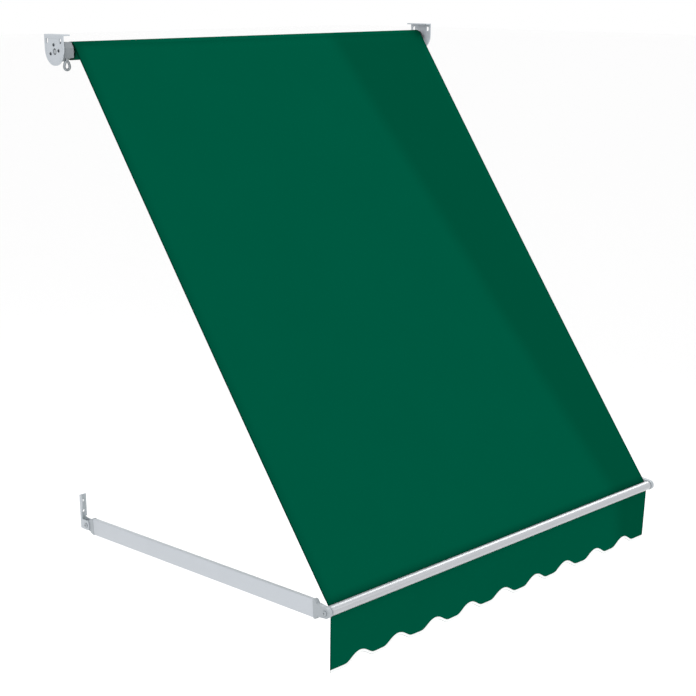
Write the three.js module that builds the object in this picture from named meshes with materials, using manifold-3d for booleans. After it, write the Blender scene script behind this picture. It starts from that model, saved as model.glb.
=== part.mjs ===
// Fabric drop-arm awning, hand cranked, about 1.2 m wide: a roller carried by two side brackets, a sheet
// of awning cloth, a round front bar with a scalloped valance, and two swinging arms.
//
// Millimetres. X runs along the roller, from the gear side to the idler side. The wall is the plane Y = 0
// and the awning stands out from it towards -Y. Z is up. The origin is on the wall face of the left arm's
// wall bracket, level with the arm's pivot.

import * as THREE from 'three';
import { mergeVertices } from 'three/addons/utils/BufferGeometryUtils.js';
import Module from 'manifold-3d';

const wasm = await Module();
wasm.setup();

// ---------------------------------------------------------------- driving dimensions

const GAP = 0.3; // clear distance between pieces that would otherwise touch

const FABRIC_WIDTH = 1100;
const FABRIC_THICKNESS = 0.6;
const ARM_TO_FABRIC = 10; // the arm's middle plane stands this far outside the cloth's edge
const FABRIC_LEFT = ARM_TO_FABRIC;
const FABRIC_RIGHT = FABRIC_LEFT + FABRIC_WIDTH;
const LEFT_ARM_X = 0;
const RIGHT_ARM_X = FABRIC_RIGHT + ARM_TO_FABRIC;

const PIVOT_Y = -22; // arm pivot, at Z = 0
const BAR_Y = -850; // front bar's axis with the awning let right down
const BAR_Z = 34;
const ROLLER_Y = -37;
const ROLLER_Z = 1100;

const BAR_RADIUS = 11;
const BAR_WALL = 1.6;
const ROLLER_RADIUS = 16;
const ROLLER_WALL = 1.4;
const ROLL_RADIUS = 19; // outside of the turns of cloth left on the roller

const ARM_HEIGHT = 40;
const ARM_WIDTH = 10;
const ARM_WALL = 1.5;

const VALANCE_DROP = 138; // from the front bar's axis to the lowest points of the scallops
const NOTCH_COUNT = 9;
const NOTCH_PITCH = 116;
const NOTCH_WIDTH = 75;
const NOTCH_DEPTH = 19;
const BINDING_WIDTH = 6;

const GEAR_PLATE_X = -30; // outer face of the gear side's bracket plate
const IDLER_PLATE_X = FABRIC_RIGHT + 20; // inner face of the idler side's bracket plate
const PLATE = 3;
const PLATE_HALF = 35;
const PLATE_MIDDLE = -ROLLER_Y - PLATE_HALF; // the plate's middle line, from the roller's axis
const PLATE_TOP = 36;
const FOOT_Z = 5; // middle of the plate's round foot
const FLANGE = 16;

// ---------------------------------------------------------------- worked-out values

const ARM_LENGTH = Math.hypot(BAR_Y - PIVOT_Y, BAR_Z);
const ARM_RISE = Math.asin(BAR_Z / ARM_LENGTH);

// The cloth leaves the roll along the tangent that meets the front bar's axis.
const SPAN = Math.hypot(BAR_Y - ROLLER_Y, BAR_Z - ROLLER_Z);
const CLOTH_RADIUS = ROLL_RADIUS + FABRIC_THICKNESS / 2 + GAP;
const CLOTH_LENGTH = Math.sqrt(SPAN ** 2 - CLOTH_RADIUS ** 2);
const CLOTH_SLOPE =
  Math.atan2(ROLLER_Z - BAR_Z, ROLLER_Y - BAR_Y) + Math.asin(CLOTH_RADIUS / SPAN);

// ---------------------------------------------------------------- helpers

/** A flat outline [[y, z], ...] or THREE.Shape made a solid from x = from to x = to. */
function alongX(outline, from, to, curveSegments = 12) {
  const shape = outline instanceof THREE.Shape ? outline : polygon(outline);
  const depth = to - from;
  const geometry = new THREE.ExtrudeGeometry(shape, { depth, bevelEnabled: false, curveSegments });
  const turn = new THREE.Matrix4().set(0, 0, 1, from, 1, 0, 0, 0, 0, 1, 0, 0, 0, 0, 0, 1);
  return solid(geometry.applyMatrix4(turn));
}

/** A flat outline [[x, z], ...] or THREE.Shape made a solid from y = from to y = to. */
function alongY(outline, from, to, curveSegments = 12) {
  const shape = outline instanceof THREE.Shape ? outline : polygon(outline);
  const depth = to - from;
  const geometry = new THREE.ExtrudeGeometry(shape, { depth, bevelEnabled: false, curveSegments });
  geometry.rotateX(Math.PI / 2);
  return solid(geometry.translate(0, to, 0));
}

function polygon(points) {
  return new THREE.Shape(points.map(([u, v]) => new THREE.Vector2(u, v)));
}

/** A round bar along X, with its axis at (y, z). */
function roundX(radius, from, to, y = 0, z = 0, sides = 24) {
  const geometry = new THREE.CylinderGeometry(radius, radius, to - from, sides);
  return solid(geometry.rotateZ(Math.PI / 2).translate((from + to) / 2, y, z));
}

/** A round bar along Z, with its axis at (x, y). */
function roundZ(radius, from, to, x = 0, y = 0, sides = 12) {
  const geometry = new THREE.CylinderGeometry(radius, radius, to - from, sides);
  return solid(geometry.rotateX(Math.PI / 2).translate(x, y, (from + to) / 2));
}

/** A turned piece: profile [[radius, x], ...] from the axis back to the axis, spun about X. */
function turnedX(profile, sides = 16) {
  const points = profile.map(([radius, x]) => new THREE.Vector2(radius, x));
  return solid(new THREE.LatheGeometry(points, sides).rotateZ(-Math.PI / 2));
}

/** A box between two corners. */
function block(low, high) {
  const size = high.map((value, axis) => value - low[axis]);
  const middle = high.map((value, axis) => (value + low[axis]) / 2);
  return solid(new THREE.BoxGeometry(...size).translate(...middle));
}

/** A three.js geometry made a manifold solid. */
function solid(geometry) {
  const bare = geometry.clone();
  bare.deleteAttribute('normal');
  bare.deleteAttribute('uv');
  const merged = mergeVertices(bare, 1e-4);
  return new wasm.Manifold(
    new wasm.Mesh({
      numProp: 3,
      vertProperties: new Float32Array(merged.attributes.position.array),
      triVerts: new Uint32Array(merged.index.array),
    }),
  );
}

/** A manifold solid made a three.js geometry. */
function geometryOf(body) {
  const mesh = body.getMesh();
  const geometry = new THREE.BufferGeometry();
  geometry.setAttribute('position', new THREE.BufferAttribute(new Float32Array(mesh.vertProperties), 3));
  geometry.setIndex(new THREE.BufferAttribute(new Uint32Array(mesh.triVerts), 1));
  geometry.computeVertexNormals();
  return geometry;
}

const join = (first, ...others) => others.reduce((body, other) => body.add(other), first);
const cut = (first, ...others) => others.reduce((body, other) => body.subtract(other), first);

const awning = new THREE.Group();
awning.name = 'fabric_awning';

const FINISH = {
  powderCoat: { color: 0xdfe3e6, roughness: 0.45, metalness: 0.1 },
  barCoat: { color: 0xe6e9ea, roughness: 0.3, metalness: 0.2 },
  greyPlastic: { color: 0x8e9294, roughness: 0.6, metalness: 0 },
  darkPlastic: { color: 0x3a3d3e, roughness: 0.6, metalness: 0 },
  castZinc: { color: 0x9a9d9c, roughness: 0.5, metalness: 0.8 },
  zincSteel: { color: 0xb8bcc0, roughness: 0.35, metalness: 0.9 },
  darkScrew: { color: 0x4a4e52, roughness: 0.4, metalness: 0.9 },
  brass: { color: 0xb59a58, roughness: 0.4, metalness: 0.9 },
  cloth: { color: 0x01553e, roughness: 0.9, metalness: 0 },
  tape: { color: 0xeceeed, roughness: 0.85, metalness: 0 },
  keder: { color: 0xd8d8d4, roughness: 0.6, metalness: 0 },
};

/** Adds one named piece to a group. */
function piece(group, name, body, finish) {
  const mesh = new THREE.Mesh(geometryOf(body), new THREE.MeshStandardMaterial(finish));
  mesh.name = name;
  group.add(mesh);
  return mesh;
}

// ---------------------------------------------------------------- roller brackets

const rollerFrame = new THREE.Group(); // X as the whole awning's, Y and Z from the roller's axis
rollerFrame.position.set(0, ROLLER_Y, ROLLER_Z);
awning.add(rollerFrame);

const SCREW_PLACES = [
  [2, 14],
  [-16, 2],
  [15, -5],
];
const SLOT_Y = 25; // the two slots stand this far either side of the plate's middle line
const SLOT_Z = 23;
const SLOT_HALF = 7;
const SLOT_RADIUS = 4;

/** A standing slot with round ends, [y, z] about its middle. */
function slotOutline(middleY, middleZ) {
  const steps = 6;
  const points = [];
  for (const end of [1, -1]) {
    for (let step = 0; step <= steps; step += 1) {
      const angle = (step / steps) * Math.PI + (end > 0 ? 0 : Math.PI);
      const z = middleZ + end * (SLOT_HALF - SLOT_RADIUS) + SLOT_RADIUS * Math.sin(angle);
      points.push(new THREE.Vector2(middleY + SLOT_RADIUS * Math.cos(angle), z));
    }
  }
  return points;
}

/** The bracket's side plate: square at the top, round below. */
function plateOutline() {
  const [front, back] = [PLATE_MIDDLE - PLATE_HALF, PLATE_MIDDLE + PLATE_HALF];
  const shape = new THREE.Shape();
  shape.moveTo(back, FOOT_Z);
  shape.lineTo(back, PLATE_TOP);
  shape.lineTo(front, PLATE_TOP);
  shape.lineTo(front, FOOT_Z);
  shape.absarc(PLATE_MIDDLE, FOOT_Z, PLATE_HALF, Math.PI, 2 * Math.PI, false);
  for (const side of [-1, 1]) {
    const slot = new THREE.Path();
    slot.setFromPoints(slotOutline(PLATE_MIDDLE + side * SLOT_Y, SLOT_Z));
    shape.holes.push(slot);
  }
  return shape;
}

/** The turned-in top flange. */
function topFlange(from, to) {
  const [front, back] = [PLATE_MIDDLE - PLATE_HALF, PLATE_MIDDLE + PLATE_HALF];
  return block([from, front, PLATE_TOP - PLATE], [to, back, PLATE_TOP]);
}

const SHAFT_HOLE = 7;
const SCREW_RADIUS = 2;
const gearPlate = join(
  alongX(plateOutline(), GEAR_PLATE_X, GEAR_PLATE_X + PLATE),
  topFlange(GEAR_PLATE_X, GEAR_PLATE_X + PLATE + FLANGE),
);
const screwHoles = SCREW_PLACES.map(([y, z]) =>
  roundX(SCREW_RADIUS + GAP, GEAR_PLATE_X - 1, GEAR_PLATE_X + PLATE + 1, y, z, 12),
);
piece(
  rollerFrame,
  'gear_side_bracket',
  cut(gearPlate, roundX(SHAFT_HOLE, GEAR_PLATE_X - 1, GEAR_PLATE_X + PLATE + 1), ...screwHoles),
  FINISH.powderCoat,
);

const PIN_RADIUS = 5;
const idlerPlate = join(
  alongX(plateOutline(), IDLER_PLATE_X, IDLER_PLATE_X + PLATE),
  topFlange(IDLER_PLATE_X - FLANGE, IDLER_PLATE_X + PLATE),
);
piece(
  rollerFrame,
  'idler_side_bracket',
  cut(idlerPlate, roundX(PIN_RADIUS + GAP, IDLER_PLATE_X - 1, IDLER_PLATE_X + PLATE + 1, 0, 0, 24)),
  FINISH.powderCoat,
);

// The idler pin is riveted through its plate and carries the roller's plain end.
const PIN_HEAD = 8;
piece(
  rollerFrame,
  'idler_pin',
  turnedX([
    [0, FABRIC_RIGHT - 14],
    [PIN_RADIUS - 1, FABRIC_RIGHT - 14],
    [PIN_RADIUS, FABRIC_RIGHT - 13],
    [PIN_RADIUS, IDLER_PLATE_X + PLATE + GAP],
    [PIN_HEAD, IDLER_PLATE_X + PLATE + GAP],
    [PIN_HEAD - 1.5, IDLER_PLATE_X + PLATE + 3],
    [0, IDLER_PLATE_X + PLATE + 3.4],
  ]),
  FINISH.zincSteel,
);

// ---------------------------------------------------------------- crank gear

const BOX_LEFT = GEAR_PLATE_X + PLATE + GAP;
const BOX_RIGHT = -3;
const BOX_WALL = 3;
const WORM_X = -15;
const WORM_Y = -22; // in front of the roller's axis
const WORM_RADIUS = 6.2;
const WORM_TOP = 13;
const WHEEL_RADIUS = 15;
const WHEEL_LEFT = -22;
const WHEEL_RIGHT = -8;
const WHEEL_TEETH = 20;
const SHAFT_SQUARE = 8;
const SOCKET_TOP = -6; // top of the crank eye's stub inside the worm

const boxOutline = [
  [22, 16],
  [18, 20],
  [-26.3, 20],
  [-33, 8],
  [-33, -13],
  [-14, -13],
  [-6, -21],
  [10, -21],
  [22, -12],
];
const boxInside = [
  [19, 15],
  [17, 17],
  [-24.3, 17],
  [-30, 7],
  [-30, -10],
  [-13, -10],
  [-5, -18],
  [9, -18],
  [19, -11],
];
const COVER_RIGHT = BOX_LEFT + BOX_WALL;
const screwBores = SCREW_PLACES.map(([y, z]) =>
  roundX(SCREW_RADIUS + GAP / 2, BOX_LEFT - 1, COVER_RIGHT + 1, y, z, 12),
);
const cover = cut(
  alongX(boxOutline, BOX_LEFT, COVER_RIGHT),
  roundX(SHAFT_HOLE, BOX_LEFT - 1, COVER_RIGHT + 1),
  ...screwBores,
);
piece(rollerFrame, 'gearbox_cover', cover, FINISH.castZinc);

const housing = cut(
  alongX(boxOutline, COVER_RIGHT + GAP, BOX_RIGHT),
  alongX(boxInside, COVER_RIGHT - 1, BOX_RIGHT - BOX_WALL),
  roundX(SHAFT_HOLE, BOX_RIGHT - BOX_WALL - 1, BOX_RIGHT + 1),
  roundZ(WORM_RADIUS + 0.6, -14, -9, WORM_X, WORM_Y),
);
piece(rollerFrame, 'gearbox_housing', housing, FINISH.castZinc);

SCREW_PLACES.forEach(([y, z], index) => {
  const head = GEAR_PLATE_X - GAP;
  const screw = turnedX(
    [
      [0, head - 1.6],
      [2.6, head - 1.3],
      [3.6, head],
      [SCREW_RADIUS, head],
      [SCREW_RADIUS, BOX_LEFT + BOX_WALL - 0.5],
      [0, BOX_LEFT + BOX_WALL - 0.5],
    ],
    12,
  );
  const slot = block([head - 2, -0.5, -4], [head - 0.9, 0.5, 4]);
  piece(rollerFrame, `gearbox_screw_${index + 1}`, cut(screw, slot).translate([0, y, z]), FINISH.darkScrew);
});

/** A toothed disc about X with trapezoid teeth. */
function toothedWheel(tip, root, teeth, from, to) {
  const points = [];
  for (let tooth = 0; tooth < teeth; tooth += 1) {
    for (const [share, radius] of [
      [0, root],
      [0.22, tip],
      [0.5, tip],
      [0.72, root],
    ]) {
      const angle = ((tooth + share) / teeth) * 2 * Math.PI;
      points.push([radius * Math.cos(angle), radius * Math.sin(angle)]);
    }
  }
  return alongX(points, from, to);
}

function squareHole(from, to) {
  const half = SHAFT_SQUARE / 2 + GAP;
  return block([from, -half, -half], [to, half, half]);
}

const wheel = toothedWheel(WHEEL_RADIUS, WHEEL_RADIUS - 2, WHEEL_TEETH, WHEEL_LEFT, WHEEL_RIGHT);
piece(
  rollerFrame,
  'worm_wheel',
  cut(wheel, squareHole(WHEEL_LEFT - 1, WHEEL_RIGHT + 1)),
  FINISH.brass,
);

const SHAFT_LEFT = GEAR_PLATE_X + 1;
const SHAFT_RIGHT = 34;
piece(
  rollerFrame,
  'drive_shaft',
  block(
    [SHAFT_LEFT, -SHAFT_SQUARE / 2, -SHAFT_SQUARE / 2],
    [SHAFT_RIGHT, SHAFT_SQUARE / 2, SHAFT_SQUARE / 2],
  ),
  FINISH.zincSteel,
);

/** The worm: a rod with raised turns, drawn as rings, and a socket in its lower end. */
function wormBody() {
  const rings = [-4, 0, 4, 8].map((z) => roundZ(WORM_RADIUS, z - 1, z + 1));
  const rod = join(roundZ(WORM_RADIUS - 2, -12, WORM_TOP), ...rings);
  return cut(rod, roundZ(2.5 + GAP, -13, SOCKET_TOP + GAP), wormPinHole());
}

const CRANK_PIN_Z = -9;
const wormPinHole = () => roundX(1 + GAP / 2, -8, 8, 0, CRANK_PIN_Z, 8);

piece(rollerFrame, 'worm_shaft', wormBody().translate([WORM_X, WORM_Y, 0]), FINISH.zincSteel);

const EYE_HALF = 9.8;
const EYE_HOLE_HALF = 3.8;
const EYE_BOTTOM = -41;
const EYE_TOP = -14.5;
const EYE_THICK = 5.6;

/** A teardrop outline: a round bottom whose sides run in to a narrow top. */
function teardrop(path, half, bottom, top, topHalf) {
  const centre = bottom + half;
  path.moveTo(half, centre);
  path.bezierCurveTo(half, centre + half * 0.9, topHalf, top - half * 0.5, topHalf, top);
  path.lineTo(-topHalf, top);
  path.bezierCurveTo(-topHalf, top - half * 0.5, -half, centre + half * 0.9, -half, centre);
  path.absarc(0, centre, half, Math.PI, 2 * Math.PI, false);
  return path;
}

const eyeOutline = teardrop(new THREE.Shape(), EYE_HALF, EYE_BOTTOM, EYE_TOP, 4);
eyeOutline.holes.push(
  teardrop(new THREE.Path(), EYE_HOLE_HALF, EYE_BOTTOM + EYE_HALF - EYE_HOLE_HALF, EYE_TOP - 7, 1.2),
);
const eyeBody = cut(
  join(
    alongY(eyeOutline, -EYE_THICK / 2, EYE_THICK / 2, 10),
    roundZ(4, EYE_TOP - 1, -12 - GAP),
    roundZ(2.5, -13, SOCKET_TOP),
  ),
  wormPinHole(),
);
piece(rollerFrame, 'crank_eye', eyeBody.translate([WORM_X, WORM_Y, 0]), FINISH.zincSteel);
piece(
  rollerFrame,
  'crank_eye_pin',
  roundX(1, -4, 4, 0, CRANK_PIN_Z, 8).translate([WORM_X, WORM_Y, 0]),
  FINISH.zincSteel,
);

// ---------------------------------------------------------------- roller

/** A round tube along X with a keyhole groove on each of the given directions (radians in the YZ plane). */
function groovedTube(radius, wall, from, to, directions, groove) {
  const outside = roundX(radius, from, to, 0, 0, 36);
  const bore = roundX(radius - wall, from - 1, to + 1, 0, 0, 36);
  let tube = cut(outside, bore);
  for (const angle of directions) {
    const place = radius - groove.radius - groove.lip;
    const [y, z] = [place * Math.cos(angle), place * Math.sin(angle)];
    tube = join(tube, roundX(groove.radius + groove.wall, from, to, y, z, 12));
  }
  for (const angle of directions) {
    const place = radius - groove.radius - groove.lip;
    const [y, z] = [place * Math.cos(angle), place * Math.sin(angle)];
    const half = groove.mouth / 2;
    const slit = block([from - 1, 0, -half], [to + 1, groove.radius + groove.lip + 1, half]);
    const mouth = slit.rotate([(angle * 180) / Math.PI, 0, 0]).translate([0, y, z]);
    tube = cut(tube, roundX(groove.radius, from - 1, to + 1, y, z, 12), mouth);
  }
  return tube;
}

/** The part of an end plug that stands in a grooved tube's bore. */
function plugBody(radius, wall, from, to, directions, groove) {
  const clear = directions.map((angle) => {
    const place = radius - groove.radius - groove.lip;
    const size = groove.radius + groove.wall + GAP;
    return roundX(size, from - 1, to + 1, place * Math.cos(angle), place * Math.sin(angle), 12);
  });
  return cut(roundX(radius - wall - GAP, from, to), ...clear);
}

const GROOVE = { radius: 2.8, wall: 1, lip: 1.3, mouth: 2 };
const ROLLER_GROOVE = { ...GROOVE, lip: 1.2 };
const ROLLER_GROOVE_ANGLE = Math.PI; // towards the wall's far side, under the turns of cloth
const ROLLER_LEFT = 6;
const ROLLER_END = FABRIC_RIGHT + 5;

piece(
  rollerFrame,
  'roller_tube',
  groovedTube(ROLLER_RADIUS, ROLLER_WALL, ROLLER_LEFT, ROLLER_END, [ROLLER_GROOVE_ANGLE], ROLLER_GROOVE),
  FINISH.zincSteel,
);

const rollPlace = ROLLER_RADIUS - GROOVE.radius - ROLLER_GROOVE.lip;
piece(
  rollerFrame,
  'roller_keder',
  roundX(GROOVE.radius - GAP, FABRIC_LEFT, FABRIC_RIGHT, -rollPlace, 0, 12),
  FINISH.keder,
);

piece(
  rollerFrame,
  'fabric_roll',
  cut(
    roundX(ROLL_RADIUS, FABRIC_LEFT, FABRIC_RIGHT, 0, 0, 36),
    roundX(ROLLER_RADIUS + GAP, FABRIC_LEFT - 1, FABRIC_RIGHT + 1, 0, 0, 36),
  ),
  FINISH.cloth,
);

const PLUG_DEPTH = 30;
const PLUG_FLANGE = 3;
const rollerPlug = (from, to) =>
  plugBody(ROLLER_RADIUS, ROLLER_WALL, from, to, [ROLLER_GROOVE_ANGLE], ROLLER_GROOVE);
const drivePlug = cut(
  join(
    rollerPlug(ROLLER_LEFT - 1, ROLLER_LEFT + PLUG_DEPTH),
    roundX(ROLLER_RADIUS, ROLLER_LEFT - GAP - PLUG_FLANGE, ROLLER_LEFT - GAP),
    roundX(ROLLER_RADIUS - 4, BOX_RIGHT + 1.5, ROLLER_LEFT - 1),
  ),
  squareHole(BOX_RIGHT, ROLLER_LEFT + PLUG_DEPTH + 1),
);
piece(rollerFrame, 'drive_plug', drivePlug, FINISH.greyPlastic);

const idlerPlug = cut(
  join(
    rollerPlug(ROLLER_END - PLUG_DEPTH, ROLLER_END + 1),
    roundX(ROLLER_RADIUS + 2, ROLLER_END + GAP, ROLLER_END + GAP + PLUG_FLANGE),
    roundX(ROLLER_RADIUS - 6, ROLLER_END + PLUG_FLANGE, IDLER_PLATE_X - 1.5),
  ),
  roundX(PIN_RADIUS + GAP, ROLLER_END - PLUG_DEPTH - 1, IDLER_PLATE_X, 0, 0, 24),
);
piece(rollerFrame, 'idler_plug', idlerPlug, FINISH.darkPlastic);

// ---------------------------------------------------------------- arms

const ARM_FRONT_CUT = 36; // the profile ends this far short of the front bar's axis
const ARM_WALL_CUT = 25; // and starts this far from the wall pivot
const LUG_RADIUS = 12;
const LUG_LEFT = -5.5;
const LUG_RIGHT = 4;
const BOLT_RADIUS = 3;
const TONGUE_HALF = 5.6;
const COLLAR_PROUD = 1;

/** A rectangle [[x, z], ...] centred on the axis. */
const rectangle = (halfWidth, halfHeight) => [
  [-halfWidth, -halfHeight],
  [halfWidth, -halfHeight],
  [halfWidth, halfHeight],
  [-halfWidth, halfHeight],
];

/** One arm in its own frame: the pivot at the origin, the arm along -Y, the outer side towards side * X. */
function makeArm(name, x, side) {
  const arm = new THREE.Group();
  arm.position.set(x, PIVOT_Y, 0);
  arm.rotation.x = -ARM_RISE;
  awning.add(arm);

  const front = -(ARM_LENGTH - ARM_FRONT_CUT);
  const [halfWidth, halfHeight] = [ARM_WIDTH / 2, ARM_HEIGHT / 2];
  const bore = rectangle(halfWidth - ARM_WALL, halfHeight - ARM_WALL);
  const profile = cut(
    alongY(rectangle(halfWidth, halfHeight), front, -ARM_WALL_CUT),
    alongY(bore, front - 1, -ARM_WALL_CUT + 1),
  );
  piece(arm, `${name}_arm_profile`, profile, FINISH.powderCoat);

  // Wall end: a moulded plug with a cap over the profile's end and a tongue between the bracket's ears.
  const plugHalf = [halfWidth - ARM_WALL - GAP, halfHeight - ARM_WALL - GAP];
  const cap = -ARM_WALL_CUT + GAP;
  const tongue = new THREE.Shape();
  tongue.absarc(0, 0, 10, -Math.PI / 2, Math.PI / 2, false);
  tongue.lineTo(-15, halfHeight - 4);
  tongue.lineTo(-15, -halfHeight + 4);
  const wallPlug = cut(
    join(
      alongY(rectangle(...plugHalf), -ARM_WALL_CUT - 24, cap + 1),
      alongX(
        [
          [cap, -halfHeight - COLLAR_PROUD],
          [cap, halfHeight + COLLAR_PROUD],
          [-13, halfHeight - 3],
          [-13, -halfHeight + 3],
        ].reverse(),
        -TONGUE_HALF,
        TONGUE_HALF,
      ),
      alongX(tongue, -TONGUE_HALF, TONGUE_HALF, 10),
    ),
    roundX(BOLT_RADIUS + GAP, -10, 10, 0, 0, 16),
  );
  piece(arm, `${name}_arm_wall_plug`, wallPlug, FINISH.greyPlastic);

  // Front end: a collar over the profile's end and a rounded lug that takes the front bar's bolt.
  const axis = -ARM_LENGTH;
  const collarFront = front - 10;
  const lug = new THREE.Shape();
  lug.moveTo(collarFront + 1, 15);
  lug.lineTo(collarFront + 1, -15);
  lug.lineTo(collarFront - 2, -14.5);
  lug.lineTo(axis + 1, -LUG_RADIUS);
  lug.absarc(axis, 0, LUG_RADIUS, -Math.PI / 2, Math.PI / 2, true);
  lug.lineTo(collarFront - 2, 14.5);
  const [lugLow, lugHigh] = side < 0 ? [LUG_LEFT, LUG_RIGHT] : [-LUG_RIGHT, -LUG_LEFT];
  const frontPlug = cut(
    join(
      alongY(rectangle(...plugHalf), front - 1, front + 28),
      alongX(
        [
          [front - GAP, halfHeight + COLLAR_PROUD],
          [front - GAP, -halfHeight - COLLAR_PROUD],
          [collarFront + 4, -halfHeight - COLLAR_PROUD],
          [collarFront, -halfHeight + 5],
          [collarFront, halfHeight - 5],
          [collarFront + 4, halfHeight + COLLAR_PROUD],
        ].reverse(),
        -halfWidth - COLLAR_PROUD / 2,
        halfWidth + COLLAR_PROUD / 2,
      ),
      alongX(lug, lugLow, lugHigh, 12),
    ),
    roundX(BOLT_RADIUS + GAP, -12, 12, axis, 0, 16),
  );
  piece(arm, `${name}_arm_front_plug`, frontPlug, FINISH.greyPlastic);
}

makeArm('left', LEFT_ARM_X, -1);
makeArm('right', RIGHT_ARM_X, 1);

// ---------------------------------------------------------------- arm wall brackets

const EAR_GAP_HALF = 6; // half the clear distance between the ears
const SHEET = 2.5;
const EAR_DEPTH = 32;
const EAR_HALF = 11.5;
const BRACKET_TOP = 72;
const FLANGE_DEPTH = 9.5;
const FLANGE_STEP = 6; // the flange is cut back to this depth above the ear, to clear the raised arm
const STEP_FROM = 28;
const STEP_TO = 40;
const RELIEF = 4;
const SCREW_HOLE = 3.1;
const SCREW_HEIGHTS = [30, 56];

/** An ear [y, z] with rounded front corners and the pivot hole. */
function ear() {
  const corner = 6;
  const shape = new THREE.Shape();
  shape.moveTo(0, -EAR_HALF);
  shape.lineTo(0, EAR_HALF);
  shape.lineTo(-EAR_DEPTH + corner, EAR_HALF);
  shape.absarc(-EAR_DEPTH + corner, EAR_HALF - corner, corner, Math.PI / 2, Math.PI, false);
  shape.absarc(-EAR_DEPTH + corner, -EAR_HALF + corner, corner, Math.PI, 1.5 * Math.PI, false);
  return shape;
}

/** One pressed-steel bracket, its bolt and its nut. Its flange and the bolt's head are on side * X. */
function makeWallBracket(name, x, side) {
  const place = new THREE.Group();
  place.position.set(x, 0, 0);
  awning.add(place);

  const half = EAR_GAP_HALF + SHEET;
  const across = (near, far) => (side < 0 ? [-far, -near] : [near, far]);
  const [outerLow, outerHigh] = across(EAR_GAP_HALF, half);
  const inner = outerHigh < 0 ? [EAR_GAP_HALF, half] : [-half, -EAR_GAP_HALF];
  const web = block([-half, -SHEET, -EAR_HALF], [half, 0, BRACKET_TOP]);
  const flange = alongX(
    [
      [0, -EAR_HALF],
      [0, BRACKET_TOP],
      [-FLANGE_DEPTH, BRACKET_TOP],
      [-FLANGE_DEPTH, STEP_TO],
      [-FLANGE_STEP, STEP_FROM],
      [-FLANGE_STEP, -EAR_HALF],
    ],
    outerLow,
    outerHigh,
  );
  const relief = block(
    [inner[0] - 0.5, -SHEET - 1, EAR_HALF + 1],
    [inner[1] + 0.5, 1, EAR_HALF + 1 + RELIEF],
  );
  const holes = SCREW_HEIGHTS.map((z) => {
    const hole = new THREE.CylinderGeometry(SCREW_HOLE, SCREW_HOLE, 10, 12);
    return solid(hole.translate(0, 0, z));
  });
  const body = cut(
    join(web, flange, alongX(ear(), outerLow, outerHigh, 8), alongX(ear(), ...inner, 8)),
    relief,
    roundX(BOLT_RADIUS + GAP, -12, 12, PIVOT_Y, 0, 16),
    ...holes,
  );
  piece(place, `${name}_arm_wall_bracket`, body, FINISH.powderCoat);

  const head = half + GAP;
  const bolt = turnedX([
    [0, -head - 3.4],
    [3.4, -head - 3.2],
    [5.4, -head - 1.6],
    [5.4, -head],
    [BOLT_RADIUS, -head],
    [BOLT_RADIUS, head + 6],
    [0, head + 6],
  ]);
  const socket = roundX(1.7, -head - 4, -head - 1.4, 0, 0, 6);
  const nut = cut(
    roundX(5.6, head, head + 5, 0, 0, 6),
    roundX(BOLT_RADIUS + GAP / 2, head - 1, head + 6, 0, 0, 16),
  );
  const turn = side < 0 ? [0, 0, 0] : [0, 0, 180];
  const put = (fixing) => fixing.rotate(turn).translate([0, PIVOT_Y, 0]);
  piece(place, `${name}_arm_pivot_bolt`, put(cut(bolt, socket)), FINISH.zincSteel);
  piece(place, `${name}_arm_pivot_nut`, put(nut), FINISH.zincSteel);
}

makeWallBracket('left', LEFT_ARM_X, -1);
makeWallBracket('right', RIGHT_ARM_X, 1);

// ---------------------------------------------------------------- front bar

const barFrame = new THREE.Group(); // Y and Z from the front bar's axis
barFrame.position.set(0, BAR_Y, BAR_Z);
awning.add(barFrame);

const WASHER = 1.2;
const BAR_PLUG_FLANGE = 2;
const BAR_START = LEFT_ARM_X + LUG_RIGHT + WASHER + BAR_PLUG_FLANGE + 3 * GAP;
const BAR_END = RIGHT_ARM_X - (LUG_RIGHT + WASHER + BAR_PLUG_FLANGE + 3 * GAP);
const CANOPY_GROOVE = CLOTH_SLOPE;
const VALANCE_GROOVE = -Math.PI / 2;
const barGrooves = [CANOPY_GROOVE, VALANCE_GROOVE];
const barPlace = BAR_RADIUS - GROOVE.radius - GROOVE.lip;

piece(
  barFrame,
  'front_bar',
  groovedTube(BAR_RADIUS, BAR_WALL, BAR_START, BAR_END, barGrooves, GROOVE),
  FINISH.barCoat,
);
for (const [name, angle] of [
  ['canopy_keder', CANOPY_GROOVE],
  ['valance_keder', VALANCE_GROOVE],
]) {
  const [y, z] = [barPlace * Math.cos(angle), barPlace * Math.sin(angle)];
  const rod = roundX(GROOVE.radius - GAP, FABRIC_LEFT, FABRIC_RIGHT, y, z, 12);
  piece(barFrame, name, rod, FINISH.keder);
}

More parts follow.
